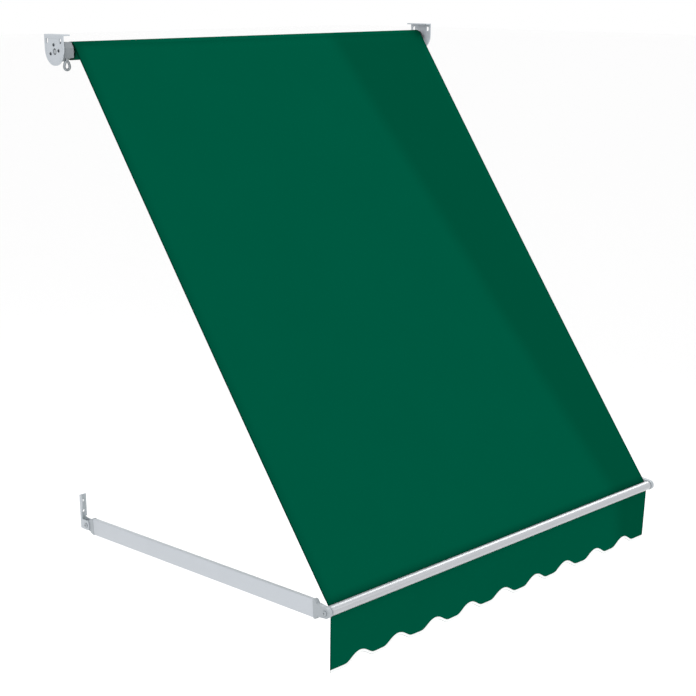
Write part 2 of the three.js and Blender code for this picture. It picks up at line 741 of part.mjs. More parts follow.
/** The plug, washer and bolt at one end of the front bar, drawn for the left end. */
function makeBarEnd(name, mirrored) {
  const lugFace = LUG_RIGHT + GAP;
  const plugStart = lugFace + WASHER + GAP;
  const tubeStart = plugStart + BAR_PLUG_FLANGE + GAP;
  const plugged = cut(
    join(
      plugBody(BAR_RADIUS, BAR_WALL, plugStart + 1, tubeStart + 22, barGrooves, GROOVE),
      roundX(BAR_RADIUS, plugStart, plugStart + BAR_PLUG_FLANGE, 0, 0, 36),
    ),
    roundX(BOLT_RADIUS + GAP / 2, plugStart - 1, tubeStart + 23, 0, 0, 16),
  );
  const washer = cut(
    roundX(7, lugFace, lugFace + WASHER, 0, 0, 24),
    roundX(BOLT_RADIUS + GAP, lugFace - 1, lugFace + WASHER + 1, 0, 0, 16),
  );
  const head = LUG_LEFT - GAP;
  const bolt = turnedX([
    [0, head - 3.6],
    [3.2, head - 3.4],
    [5.2, head - 2],
    [5.6, head],
    [BOLT_RADIUS, head],
    [BOLT_RADIUS, tubeStart + 16],
    [0, tubeStart + 16],
  ]);
  const boltBody = cut(bolt, roundX(2, head - 5, head - 1.6, 0, 0, 6));
  const put = (body) => (mirrored ? body.mirror([1, 0, 0]).translate([RIGHT_ARM_X, 0, 0]) : body);
  piece(barFrame, `${name}_bar_plug`, put(plugged), FINISH.greyPlastic);
  piece(barFrame, `${name}_bar_washer`, put(washer), FINISH.zincSteel);
  piece(barFrame, `${name}_bar_bolt`, put(boltBody), FINISH.zincSteel);
}

makeBarEnd('left', false);
makeBarEnd('right', true);

// ---------------------------------------------------------------- valance

/**
 * The scalloped lower edge, from the left end to the right: z over x. Round notches are cut between tabs
 * with flat feet, and each notch runs out into them in a short S.
 */
function scallopEdge(raise) {
  const low = -VALANCE_DROP + raise;
  const middle = (FABRIC_LEFT + FABRIC_RIGHT) / 2;
  const steps = 10;
  const points = [[FABRIC_LEFT, low]];
  for (let notch = 0; notch < NOTCH_COUNT; notch += 1) {
    const centre = middle + (notch - (NOTCH_COUNT - 1) / 2) * NOTCH_PITCH;
    for (let step = 0; step <= steps; step += 1) {
      const share = step / steps;
      const lift = NOTCH_DEPTH * Math.abs(Math.sin(Math.PI * share)) ** 1.3;
      points.push([centre + NOTCH_WIDTH * (share - 0.5), low + lift]);
    }
  }
  points.push([FABRIC_RIGHT, low]);
  return points;
}

const CLOTH_START = BAR_RADIUS - GROOVE.lip; // both sheets end just short of their keder rods
const VALANCE_TOP = -CLOTH_START;
const foot = scallopEdge(0);
const sheetOutline = [...foot, [FABRIC_RIGHT, VALANCE_TOP], [FABRIC_LEFT, VALANCE_TOP]];
const valance = alongY(sheetOutline, -FABRIC_THICKNESS / 2, FABRIC_THICKNESS / 2);
piece(barFrame, 'valance', valance, FINISH.cloth);

// The binding is a tape folded over the edge: a band with the sheet's own space cut out of it.
const BINDING_HALF = 1.1;
const under = scallopEdge(-1.2);
const over = scallopEdge(BINDING_WIDTH - 1.2).reverse();
const room = [...scallopEdge(-GAP), [FABRIC_RIGHT + 1, 0], [FABRIC_LEFT - 1, 0]];
room[0][0] -= 1;
room[foot.length - 1][0] += 1;
const binding = cut(
  alongY([...under, ...over], -BINDING_HALF, BINDING_HALF),
  alongY(room, -FABRIC_THICKNESS / 2 - GAP / 2, FABRIC_THICKNESS / 2 + GAP / 2),
);
piece(barFrame, 'valance_binding', binding, FINISH.tape);

// ---------------------------------------------------------------- canopy

// A plain slab from the roll's tangent to just inside the front bar's groove, drawn along +Y from the bar
// and tilted up to the roller.
const canopy = new THREE.Group();
canopy.position.set(0, BAR_Y, BAR_Z);
canopy.rotation.x = CLOTH_SLOPE;
awning.add(canopy);
const slab = block(
  [FABRIC_LEFT, CLOTH_START, -FABRIC_THICKNESS / 2],
  [FABRIC_RIGHT, CLOTH_LENGTH, FABRIC_THICKNESS / 2],
);
piece(canopy, 'canopy', slab, FINISH.cloth);

export default awning;
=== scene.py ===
import math

import bmesh
import bpy
import numpy as np
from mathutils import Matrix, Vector


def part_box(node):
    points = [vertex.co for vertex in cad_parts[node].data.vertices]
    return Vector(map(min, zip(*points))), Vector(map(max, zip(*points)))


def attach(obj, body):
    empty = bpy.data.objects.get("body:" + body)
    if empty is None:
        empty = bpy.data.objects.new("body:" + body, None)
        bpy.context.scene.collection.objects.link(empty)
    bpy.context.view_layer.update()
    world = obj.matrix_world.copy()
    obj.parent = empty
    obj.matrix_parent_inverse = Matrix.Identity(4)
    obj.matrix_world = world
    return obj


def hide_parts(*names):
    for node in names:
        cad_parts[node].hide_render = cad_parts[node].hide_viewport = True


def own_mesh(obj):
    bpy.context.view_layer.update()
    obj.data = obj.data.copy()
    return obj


# Fabric drop-arm awning, let right down: roller and brackets, cloth, front bar, valance and arms.
# The frame: X along the roller, Y into the wall, Z up. The pieces' sizes below are in millimetres.

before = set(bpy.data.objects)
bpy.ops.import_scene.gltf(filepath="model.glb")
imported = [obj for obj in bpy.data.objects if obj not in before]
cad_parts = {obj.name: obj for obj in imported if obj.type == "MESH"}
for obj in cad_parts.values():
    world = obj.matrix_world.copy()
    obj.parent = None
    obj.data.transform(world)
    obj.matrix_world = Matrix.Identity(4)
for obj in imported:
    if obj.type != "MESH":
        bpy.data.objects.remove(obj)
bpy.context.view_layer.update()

# ------------------------------------------------------------------------------------------- camera
# A long lens on the gear side, in front of the awning and a little above its roller. Its shift
# keeps upright edges close to upright while it looks down on the front bar.

LENS_OVER_SENSOR = 2.1132
SENSOR = 36
CAMERA_PLACE = (-1.8734, -2.8222, 1.2510)
CAMERA_PITCH = 17.61
CAMERA_YAW = 44.42
CAMERA_SHIFT = 0.1394

camera_data = bpy.data.cameras.new("camera")
camera_data.sensor_width = SENSOR
camera_data.lens = SENSOR * LENS_OVER_SENSOR
camera_data.shift_y = CAMERA_SHIFT
camera = bpy.data.objects.new("camera", camera_data)
camera.location = CAMERA_PLACE
camera.rotation_euler = (math.radians(90 - CAMERA_PITCH), 0, math.radians(-CAMERA_YAW))
bpy.context.collection.objects.link(camera)
bpy.context.scene.camera = camera

# ---------------------------------------------------------------------------------- floor and light
# A white studio: a matt white floor well below the awning, as the pavement is below a window, a
# bright even surround, and large soft lamps. The last one draws the bright line along the bar.

MM = 0.001


def linear(code):
    """An sRGB hex value as linear red, green, blue and full alpha."""
    values = np.array([int(code[i : i + 2], 16) / 255 for i in (0, 2, 4)])
    curve = np.where(values <= 0.04045, values / 12.92, ((values + 0.055) / 1.055) ** 2.4)
    return (*curve.tolist(), 1.0)


def add_node(tree, kind, settings=None, links=None):
    """Adds one shader node, with its properties or input values set and its inputs linked."""
    made = tree.nodes.new("ShaderNode" + kind)
    for key, value in (settings or {}).items():
        if isinstance(key, str) and hasattr(made, key):
            setattr(made, key, value)
        else:
            made.inputs[key].default_value = value
    for key, output in (links or {}).items():
        tree.links.new(output, made.inputs[key])
    return made


def start_material(name, colour, roughness, metallic=0.0, specular=0.5):
    """A material with its constant values on its shader. Returns it, its tree and its shader."""
    material = bpy.data.materials.new(name)
    material.use_nodes = True
    shader = material.node_tree.nodes["Principled BSDF"]
    shader.inputs["Base Color"].default_value = linear(colour)
    shader.inputs["Roughness"].default_value = roughness
    shader.inputs["Metallic"].default_value = metallic
    shader.inputs["Specular IOR Level"].default_value = specular
    return material, material.node_tree, shader


FLOOR_Z = -1300
FLOOR_HALF = 60000
floor_corners = np.array([[-1, -1], [1, -1], [1, 1], [-1, 1]]) * FLOOR_HALF * MM
floor_mesh = bpy.data.meshes.new("floor")
floor_mesh.from_pydata([(x, y, FLOOR_Z * MM) for x, y in floor_corners], [], [(0, 1, 2, 3)])
floor = bpy.data.objects.new("floor", floor_mesh)
bpy.context.collection.objects.link(floor)
floor_mesh.materials.append(
    start_material("matt_white_floor_paint", "fdfdfd", 0.9, specular=0.1)[0]
)

world = bpy.data.worlds.new("white_surround")
world.use_nodes = True
world.node_tree.nodes["Background"].inputs["Color"].default_value = (1.0, 1.0, 1.0, 1.0)
world.node_tree.nodes["Background"].inputs["Strength"].default_value = 1.0
bpy.context.scene.world = world
bpy.context.scene.view_settings.view_transform = "Standard"

# Every lamp looks at the middle of the awning: [name, place in m, side in m, watts].
AIM = Vector((0.45, -0.4, 0.55))
LAMPS = [
    ("key_lamp", Vector((-2.9, -2.9, 3.9)), 1.8, 56.0),
    ("fill_lamp", Vector((2.2, -4.4, 2.0)), 2.4, 16.0),
    ("bar_line_lamp", Vector((3.6, -0.1, 2.9)), 2.2, 68.0),
]
for lamp_name, place, lamp_side, power in LAMPS:
    lamp_data = bpy.data.lights.new(lamp_name, "AREA")
    lamp_data.shape = "SQUARE"
    lamp_data.size = lamp_side
    lamp_data.energy = power
    lamp = bpy.data.objects.new(lamp_name, lamp_data)
    lamp.location = place
    lamp.rotation_euler = (AIM - place).to_track_quat("-Z", "Y").to_euler()
    bpy.context.collection.objects.link(lamp)

# ----------------------------------------------------------------------------- roller side brackets
# Two plates pressed from 3 mm steel: a square top with a turned-in flange, a round foot below the
# roller's axis, two upright slots and a pressed bead near the rim. Powder coated light grey.

CLOUD_GRAINS = 40
GRAIN_STRENGTH = 0.5


def grained_material(name, light, dark, rough, grain, depth, metallic=0.0, specular=0.5):
    """A surface whose colour and roughness drift between two values over clouds CLOUD_GRAINS grains
    wide. Its grain is that many mm wide and raised by depth mm."""
    material, tree, shader = start_material(name, light, rough[0], metallic, specular)
    where = add_node(tree, "TexCoord").outputs["Object"]
    fine = add_node(
        tree, "TexNoise", {"Scale": 1 / (grain * MM), "Detail": 3.0}, {"Vector": where}
    )
    broad = add_node(
        tree,
        "TexNoise",
        {"Scale": 1 / (CLOUD_GRAINS * grain * MM), "Detail": 2.0},
        {"Vector": where},
    )
    tint = add_node(
        tree,
        "Mix",
        {"data_type": "RGBA", 6: linear(light), 7: linear(dark)},
        {0: broad.outputs["Fac"]},
    )
    gloss = add_node(
        tree, "MapRange", {"To Min": rough[0], "To Max": rough[1]}, {"Value": broad.outputs["Fac"]}
    )
    bump = add_node(
        tree,
        "Bump",
        {"Strength": GRAIN_STRENGTH, "Distance": depth * MM},
        {"Height": fine.outputs["Fac"]},
    )
    tree.links.new(tint.outputs[2], shader.inputs["Base Color"])
    tree.links.new(gloss.outputs["Result"], shader.inputs["Roughness"])
    tree.links.new(bump.outputs["Normal"], shader.inputs["Normal"])
    return material


def ready(piece, body, slot, material, *replaced):
    """Links a finished piece, gives it its material, and says what it rides on and stands for."""
    if piece.name not in bpy.context.collection.objects:
        bpy.context.collection.objects.link(piece)
    piece.data.materials.append(material)
    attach(piece, body)
    if replaced:
        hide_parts(*replaced)
    return piece


CREASE = math.radians(32)
FLAT = math.radians(0.5)
SAME_POINT = 0.002


def softened(node, name, edge, body, slot, material, segments=3):
    """A merged copy of a CAD node with its corners rounded off by edge mm, as pressing, moulding or
    tumbling leaves them."""
    work = bmesh.new()
    work.from_mesh(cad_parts[node].data)
    bmesh.ops.remove_doubles(work, verts=work.verts, dist=SAME_POINT * MM)
    bmesh.ops.dissolve_limit(work, angle_limit=FLAT, verts=work.verts, edges=work.edges)
    mesh = bpy.data.meshes.new(name)
    work.to_mesh(mesh)
    work.free()
    mesh.polygons.foreach_set("use_smooth", np.ones(len(mesh.polygons), bool))
    mesh.set_sharp_from_angle(angle=CREASE)
    piece = bpy.data.objects.new(name, mesh)
    bevel = piece.modifiers.new("rounded_edges", "BEVEL")
    bevel.width = edge * MM
    bevel.segments = segments
    bevel.limit_method = "ANGLE"
    bevel.angle_limit = CREASE
    bevel.use_clamp_overlap = True
    bevel.harden_normals = True
    return ready(piece, body, slot, material, node)


# Polyester powder coat: satin, with a faint orange peel, drawn at 2 mm so that it can be seen.
powder_coat = grained_material("satin_powder_coat", "b6bcc2", "afb5bb", (0.36, 0.46), 2.0, 0.02)

PRESSED_EDGE = 0.7
for side in ("gear", "idler"):
    softened(f"{side}_side_bracket", f"{side}_side_bracket_pressed", PRESSED_EDGE,
             "wall_mounting", "powder_coated_steel", powder_coat)

# The plates' outer faces, and their outline about the roller's axis.
ROLLER_Y, ROLLER_Z = -37, 1100
GEAR_FACE_X = -30
IDLER_FACE_X = 1133
PLATE = 3
PLATE_HALF = 35
PLATE_MIDDLE = 2
PLATE_TOP = 36
FOOT_Z = 5
RIM_INSET = 4.5
RIM_CORNER = 4
RIM_STEPS = 49
CORNER_STEPS = 9
BEAD_HALF = 1.3
BEAD_HEIGHT = 0.7
BEAD_SIDES = 16
JOINED = 0.001


def corners_of(index):
    """The four point numbers of each quad in a grid of point numbers."""
    return np.stack([index[:-1, :-1], index[1:, :-1], index[1:, 1:], index[:-1, 1:]], axis=-1)


def surface(name, points, closed_u=False, closed_v=False, uv=None, crease=None):
    """A mesh of the grid points[u, v] = (x, y, z) in mm, with quads between neighbours, joined
    round where a direction is closed. uv[u, v] is in metres along the surface."""
    rows, columns = points.shape[:2]
    index = np.arange(rows * columns).reshape(rows, columns)
    if closed_u:
        index = np.vstack([index, index[:1]])
    if closed_v:
        index = np.hstack([index, index[:, :1]])
    quads = corners_of(index)
    mesh = bpy.data.meshes.new(name)
    mesh.from_pydata((points.reshape(-1, 3) * MM).tolist(), [], quads.reshape(-1, 4).tolist())
    if uv is not None:
        layer = mesh.uv_layers.new(name="cloth_uv")
        layer.data.foreach_set("uv", uv.reshape(-1, 2)[quads.reshape(-1)].ravel())
    mesh.polygons.foreach_set("use_smooth", np.ones(len(mesh.polygons), bool))
    if crease:
        mesh.set_sharp_from_angle(angle=crease)
    return bpy.data.objects.new(name, mesh)


def outwards(piece):
    """Turns every face of a closed piece to point out of it."""
    work = bmesh.new()
    work.from_mesh(piece.data)
    bmesh.ops.remove_doubles(work, verts=work.verts, dist=JOINED * MM)
    bmesh.ops.recalc_face_normals(work, faces=work.faces)
    work.to_mesh(piece.data)
    work.free()
    return piece


def full_turn(count):
    """That many angles, evenly round a full turn."""
    return np.linspace(0, 2 * np.pi, count + 1)[:-1]


def beside(path):
    """Unit vectors square to a closed flat path, on the left of the way it runs."""
    ahead = np.roll(path, -1, axis=0) - np.roll(path, 1, axis=0)
    ahead /= np.linalg.norm(ahead, axis=1, keepdims=True)
    return np.stack([-ahead[:, 1], ahead[:, 0]], axis=-1)


def rim_path():
    """The plate's outline moved in by RIM_INSET: round the foot, then over both top corners."""
    half = PLATE_HALF - RIM_INSET
    top = PLATE_TOP - PLATE - RIM_INSET
    foot = np.radians(np.linspace(180, 360, RIM_STEPS))
    path = [np.stack([half * np.cos(foot), FOOT_Z + half * np.sin(foot)], axis=-1)]
    for hand, start in ((1, 0), (-1, 90)):
        corner = np.radians(np.linspace(start, start + 90, CORNER_STEPS))
        path.append(np.stack([
            hand * (half - RIM_CORNER) + RIM_CORNER * np.cos(corner),
            top - RIM_CORNER + RIM_CORNER * np.sin(corner),
        ], axis=-1))
    return np.vstack(path) + [PLATE_MIDDLE, 0]


def pressed_bead(name, face_x, outward):
    """A low half-round bead along the rim: an ellipse with the half axes BEAD_HALF and BEAD_HEIGHT,
    carried round rim_path with its middle in the plate's face."""
    path = rim_path()
    turn = full_turn(BEAD_SIDES)
    line = path[:, None, :] + beside(path)[:, None, :] * (BEAD_HALF * np.cos(turn))[None, :, None]
    rise = np.broadcast_to(face_x + outward * BEAD_HEIGHT * np.sin(turn), line.shape[:2])
    points = np.stack([rise, line[..., 0] + ROLLER_Y, line[..., 1] + ROLLER_Z], axis=-1)
    piece = outwards(surface(name, points, closed_u=True, closed_v=True))
    return ready(piece, "wall_mounting", "powder_coated_steel", powder_coat)


pressed_bead("gear_bracket_bead", GEAR_FACE_X, -1)
pressed_bead("idler_bracket_bead", IDLER_FACE_X, 1)

# --------------------------------------------------------------------------------------- crank gear
# A zinc die casting screwed to the gear side's bracket: a cover, a box with a slanted front over
# the worm, and three blackened screws. The shaft and the worm inside are zinc-plated steel.

# Bare die casting: dull grey with a fine cast grain, drawn at 1.2 mm.
cast_zinc = grained_material(
    "bare_zinc_casting", "8b9093", "71777b", (0.42, 0.58), 1.2, 0.05, 0.6
)
# Blackened screws: dark, with a little shine on the heads.
black_screw = grained_material(
    "blackened_steel", "4a4f54", "383c40", (0.32, 0.42), 0.8, 0.01, 0.8
)
# Bright zinc plating: a soft metal shine with faint clouds.
zinc_plate = grained_material(
    "bright_zinc_plating", "b4b9bd", "9ba1a6", (0.28, 0.4), 0.9, 0.01, 0.85
)
# Turned brass, seen only inside the box.
turned_brass = grained_material(
    "turned_brass", "b8a060", "a88e4e", (0.3, 0.4), 0.8, 0.01, 1.0
)

for node, edge in {"gearbox_cover": 0.5, "gearbox_housing": 0.9}.items():
    softened(node, f"{node}_cast", edge, "wall_mounting", "cast_zinc", cast_zinc)
SCREW_EDGE = 0.25
for number in (1, 2, 3):
    softened(f"gearbox_screw_{number}", f"gearbox_screw_{number}_turned", SCREW_EDGE,
             "wall_mounting", "dark_screws", black_screw, segments=2)


def refinished(node, finish):
    """Gives a CAD node that keeps its shape a finish of its own."""
    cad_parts[node].data.materials.clear()
    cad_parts[node].data.materials.append(finish)


for node in ("worm_shaft", "drive_shaft", "crank_eye_pin"):
    refinished(node, zinc_plate)
refinished("worm_wheel", turned_brass)

# ---------------------------------------------------------------------------------------- crank eye
# The eye that takes the hook of the winding crank: round steel bent to a teardrop and welded to a
# stub that is pinned in the worm's socket.

WORM_X = -15
WORM_Y = ROLLER_Y - 22
WIRE_RADIUS = 2.9
WIRE_SIDES = 20
EYE_STEPS = 72
EYE_MIDDLE = ROLLER_Z - 27.9
EYE_HALF_HEIGHT = 10.2
EYE_HALF_WIDTH = 6.6
# The ellipse's width is scaled by (EYE_SHARE - EYE_TAPER * the turn's cosine) / EYE_WIDEST.
EYE_SHARE, EYE_TAPER, EYE_WIDEST = 0.76, 0.34, 0.8

# Zinc plating dulled by weather and by the crank's hook: the same soft shine, a shade darker.
dulled_zinc = grained_material(
    "dulled_zinc_plating", "969b9f", "868b8f", (0.32, 0.44), 0.9, 0.01, 0.85
)

# A teardrop: an ellipse that narrows towards its top as the cosine of the turn, with the round wire
# carried along it.
eye_turn = full_turn(EYE_STEPS)
eye_line = np.stack([
    EYE_HALF_WIDTH * np.sin(eye_turn) * (EYE_SHARE - EYE_TAPER * np.cos(eye_turn)) / EYE_WIDEST,
    EYE_HALF_HEIGHT * np.cos(eye_turn),
], axis=-1)
wire_turn = full_turn(WIRE_SIDES)
wire_across = (WIRE_RADIUS * np.cos(wire_turn))[None, :, None]
eye_side = eye_line[:, None, :] - beside(eye_line)[:, None, :] * wire_across
eye_depth = np.broadcast_to(WORM_Y + WIRE_RADIUS * np.sin(wire_turn), eye_side.shape[:2])
eye_points = np.stack(
    [WORM_X + eye_side[..., 0], eye_depth, EYE_MIDDLE + eye_side[..., 1]], axis=-1
)
crank_eye = outwards(surface("crank_eye_bent", eye_points, closed_u=True, closed_v=True))
ready(crank_eye, "crank", "zinc_plated_steel", dulled_zinc, "crank_eye")


def turned_upright(name, profile, x, y, foot, sides=32):
    """A turned piece on a vertical axis: profile [[radius, height over the foot], ...] from the
    axis back to the axis, spun."""
    spin = full_turn(sides)
    radius, height = np.array(profile, float).T + [[0], [foot]]
    points = np.stack([
        x + radius[:, None] * np.cos(spin),
        y + radius[:, None] * np.sin(spin),
        np.broadcast_to(height[:, None], (len(height), sides)),
    ], axis=-1)
    return outwards(surface(name, points, closed_v=True, crease=CREASE))


STUB_FOOT = ROLLER_Z - 18.8
# A collar over the eye, then a thinner end that goes into the worm's socket.
stub_profile = [[0, 0], [3.4, 0], [4, 0.8], [4, 5.8], [3.6, 6.4], [2.5, 6.5], [2.5, 12.4],
                [2.1, 12.8], [0, 12.8]]
eye_stub = turned_upright("crank_eye_stub", stub_profile, WORM_X, WORM_Y, STUB_FOOT)
ready(eye_stub, "crank", "zinc_plated_steel", dulled_zinc)

# ------------------------------------------------------------------------------------------- roller
# A galvanised steel tube with a moulded drive plug at the gear side and a dark idler plug at the
# other, which turns on a steel pin riveted through its bracket.

# Moulded grey nylon: matt, with the fine grain of the mould.
grey_nylon = grained_material(
    "moulded_grey_nylon", "a3a9ae", "989ea3", (0.4, 0.52), 1.0, 0.02
)
# Moulded dark nylon, as above.
dark_nylon = grained_material(
    "moulded_dark_nylon", "44494c", "373b3e", (0.45, 0.55), 1.0, 0.02
)
# Extruded plastic cord, which holds the cloth in its grooves: matt and off-white.
cord_plastic = grained_material(
    "extruded_cord_plastic", "d8d8d4", "c8c8c4", (0.45, 0.55), 1.5, 0.02
)

PLUG_EDGE = 0.5
PIN_EDGE = 0.4
TUBE_EDGE = 0.2
softened("drive_plug", "drive_plug_moulded", PLUG_EDGE, "roller", "grey_plastic", grey_nylon)
softened("idler_plug", "idler_plug_moulded", PLUG_EDGE, "roller", "dark_plastic", dark_nylon)
softened("idler_pin", "idler_pin_riveted", PIN_EDGE, "wall_mounting", "zinc_plated_steel",
         zinc_plate)
softened("roller_tube", "roller_tube_rolled", TUBE_EDGE, "roller", "zinc_plated_steel",
         zinc_plate, segments=1)
for node in ("roller_keder", "canopy_keder", "valance_keder"):
    refinished(node, cord_plastic)

# ------------------------------------------------------------------------------------------- canopy
# One sheet of plain-woven, coated polyester awning cloth, dark green, stretched from the roller to
# the groove in the front bar. It hangs a few millimetres slack, and its sides are folded under.

CLOTH_LEFT, CLOTH_RIGHT = 10, 1110
CLOTH_THICK = 0.6
BAR_Y, BAR_Z = -850, 34
TANGENT_RADIUS = 19.6
CLOTH_START = 9.7
SAG = 4

bar_to_roller = np.array([ROLLER_Y - BAR_Y, ROLLER_Z - BAR_Z])
span = np.hypot(*bar_to_roller)
CLOTH_LENGTH = math.sqrt(span**2 - TANGENT_RADIUS**2)
SLOPE = math.atan2(bar_to_roller[1], bar_to_roller[0]) + math.asin(TANGENT_RADIUS / span)


def canopy_points(across, along, lift):
    """The taut sheet: a plane from the bar's axis up the slope, let down by a parabola SAG deep in
    the middle of its length, and raised off that by lift. Returns its points and its UV."""
    share = (along - CLOTH_START) / (CLOTH_LENGTH - CLOTH_START)
    drop = lift - 4 * SAG * share * (1 - share)
    x, s = np.meshgrid(across, along, indexing="ij")
    y = BAR_Y + s * math.cos(SLOPE) - drop * math.sin(SLOPE)
    z = BAR_Z + s * math.sin(SLOPE) + drop * math.cos(SLOPE)
    return np.stack([x, y, z], axis=-1), np.stack([x, s], axis=-1) * MM


# The real threads lie about 0.5 mm apart. They are drawn at 1.2 mm so that a close view shows them.
THREAD_SPACING = 1.2
THREAD_HEIGHT = 0.08
THREAD_STRENGTH = 0.35
CLOUD_SCALE = 5.0
# How far each pattern carries the colour from light to dark. The third and fourth are painted
# shade: a falloff of light towards the idler side, and shade at the folded side edges.
THREAD_SHADE = 0.12
CLOUD_SHADE = 0.3
IDLER_SIDE_PAINTED_SHADE = 0.85
EDGE_PAINTED_SHADE = 0.85
# The painted shade towards the idler side starts where X plus the slant times the way up passes
# these values, in metres.
PAINTED_SHADE_SLANT = 0.15
PAINTED_SHADE_FROM, PAINTED_SHADE_TO = 0.95, 1.02
# The painted shade at the folded side edges fades in between these distances from the cloth's side,
# in mm.
EDGE_FROM, EDGE_TO = 3, 1


def cloth_material(name, light, dark, edge_shade_colour):
    """Plain weave: the product of two sine waves, one along each thread direction, lifts and shades
    the threads. Faint clouds vary the colour. Painted shade makes it a shade deeper past a slanting
    line towards the idler side, where the light falls off, and painted shade darkens the folded
    side edges. UV is X and the distance up from the bar, in metres."""
    material, tree, shader = start_material(name, light, 0.95, specular=0.0)
    place = add_node(tree, "UVMap", {"uv_map": "cloth_uv"})
    parts = add_node(tree, "SeparateXYZ", None, {0: place.outputs["UV"]})
    turns = 2 * math.pi / (THREAD_SPACING * 2 * MM)
    waves = []
    for axis in ("X", "Y"):
        scaled = add_node(
            tree, "Math", {"operation": "MULTIPLY", 1: turns}, {0: parts.outputs[axis]}
        )
        waves.append(add_node(tree, "Math", {"operation": "SINE"}, {0: scaled.outputs[0]}))
    weave = add_node(
        tree, "Math", {"operation": "MULTIPLY"}, {0: waves[0].outputs[0], 1: waves[1].outputs[0]}
    )
    cloud = add_node(
        tree,
        "TexNoise",
        {"Scale": CLOUD_SCALE, "Detail": 3.0, "Roughness": 0.6},
        {"Vector": place.outputs["UV"]},
    )
    # Painted shade: past a slanting line towards the idler side, the colour is mixed towards the
    # dark green to stand in for the light falling off there.
    slant = add_node(
        tree,
        "Math",
        {"operation": "MULTIPLY_ADD", 1: PAINTED_SHADE_SLANT},
        {0: parts.outputs["Y"], 2: parts.outputs["X"]},
    )
    idler_side_painted_shade = add_node(
        tree,
        "MapRange",
        {
            "interpolation_type": "SMOOTHSTEP",
            "From Min": PAINTED_SHADE_FROM,
            "From Max": PAINTED_SHADE_TO,
            "To Max": IDLER_SIDE_PAINTED_SHADE,
        },
        {"Value": slant.outputs[0]},
    )
    blend = add_node(
        tree,
        "Math",
        {"operation": "MULTIPLY_ADD", 1: CLOUD_SHADE},
        {0: cloud.outputs["Fac"], 2: idler_side_painted_shade.outputs[0]},
    )
    threads = add_node(
        tree,
        "Math",
        {"operation": "MULTIPLY_ADD", 1: THREAD_SHADE},
        {0: weave.outputs[0], 2: blend.outputs[0]},
    )
    tint = add_node(
        tree,
        "Mix",
        {"data_type": "RGBA", 6: linear(light), 7: linear(dark)},
        {0: threads.outputs[0]},
    )
    # Painted shade: within a few mm of the cloth's sides, the colour is mixed towards the edge
    # colour to stand in for the shade at the folded edges.
    middle = (CLOTH_LEFT + CLOTH_RIGHT) / 2 * MM
    reach = (CLOTH_RIGHT - CLOTH_LEFT) / 2 * MM
    aside = add_node(
        tree, "Math", {"operation": "SUBTRACT", 1: middle}, {0: parts.outputs["X"]}
    )
    distance = add_node(tree, "Math", {"operation": "ABSOLUTE"}, {0: aside.outputs[0]})
    edge = add_node(
        tree,
        "MapRange",
        {
            "From Min": reach - EDGE_FROM * MM,
            "From Max": reach - EDGE_TO * MM,
            "To Max": EDGE_PAINTED_SHADE,
        },
        {"Value": distance.outputs[0]},
    )
    edge_painted = add_node(
        tree,
        "Mix",
        {"data_type": "RGBA", 7: linear(edge_shade_colour)},
        {0: edge.outputs[0], 6: tint.outputs[2]},
    )
    bump = add_node(
        tree,
        "Bump",
        {"Strength": THREAD_STRENGTH, "Distance": THREAD_HEIGHT * MM},
        {"Height": weave.outputs[0]},
    )
    tree.links.new(edge_painted.outputs[2], shader.inputs["Base Color"])
    tree.links.new(bump.outputs["Normal"], shader.inputs["Normal"])
    return material


# Coated cloth: dull, with next to no shine, a deep green that is even over most of the sheet.
# The darker green also carries the painted shade towards the idler side, and the darkest green is
# painted shade at the folded side edges.
green_cloth = cloth_material("woven_green_awning_cloth", "004d38", "004531", "002a1d")


def thickened(piece, thickness):
    """Gives a sheet its thickness, half to each side."""
    wall = piece.modifiers.new("cloth_thickness", "SOLIDIFY")
    wall.thickness = thickness * MM
    wall.offset = 0.0
    return piece


CANOPY_COLUMNS = 45
CANOPY_ROWS = 61
canopy_grid, canopy_uv = canopy_points(
    np.linspace(CLOTH_LEFT, CLOTH_RIGHT, CANOPY_COLUMNS),
    np.linspace(CLOTH_START, CLOTH_LENGTH, CANOPY_ROWS),
    0,
)
canopy = thickened(surface("canopy_cloth", canopy_grid, uv=canopy_uv), CLOTH_THICK)
ready(canopy, "canopy_panel", "green_awning_cloth", green_cloth, "canopy")

# The hems stop short of the bar and of the roll, so that they stay clear of both with the arms up.
HEM_WIDTH = 22
HEM_FROM = CLOTH_START + 14
HEM_TO = CLOTH_LENGTH - 34
HEM_GAP = 0.05
HEM_COLUMNS = 4
hems = []
for hem_name, low, high in (
    ("canopy_left_hem", CLOTH_LEFT, CLOTH_LEFT + HEM_WIDTH),
    ("canopy_right_hem", CLOTH_RIGHT - HEM_WIDTH, CLOTH_RIGHT),
):
    hem_grid, hem_uv = canopy_points(
        np.linspace(low, high, HEM_COLUMNS),
        np.linspace(HEM_FROM, HEM_TO, CANOPY_ROWS),
        -CLOTH_THICK - HEM_GAP,
    )
    hem = thickened(surface(hem_name, hem_grid, uv=hem_uv), CLOTH_THICK)
    hems.append(ready(hem, "canopy_panel", "green_awning_cloth", green_cloth))

# Each cloth piece gets a mesh of its own. With the arms up, less cloth runs from the roller to the
# bar, and the rest is wound in.
for piece in (canopy, *hems):
    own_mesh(piece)

# -------------------------------------------------------------------------------------- wound cloth
# The turns of the same cloth that stay on the roller: a spiral from the line where the canopy
# leaves it in to the tube, so its layers show at both ends.

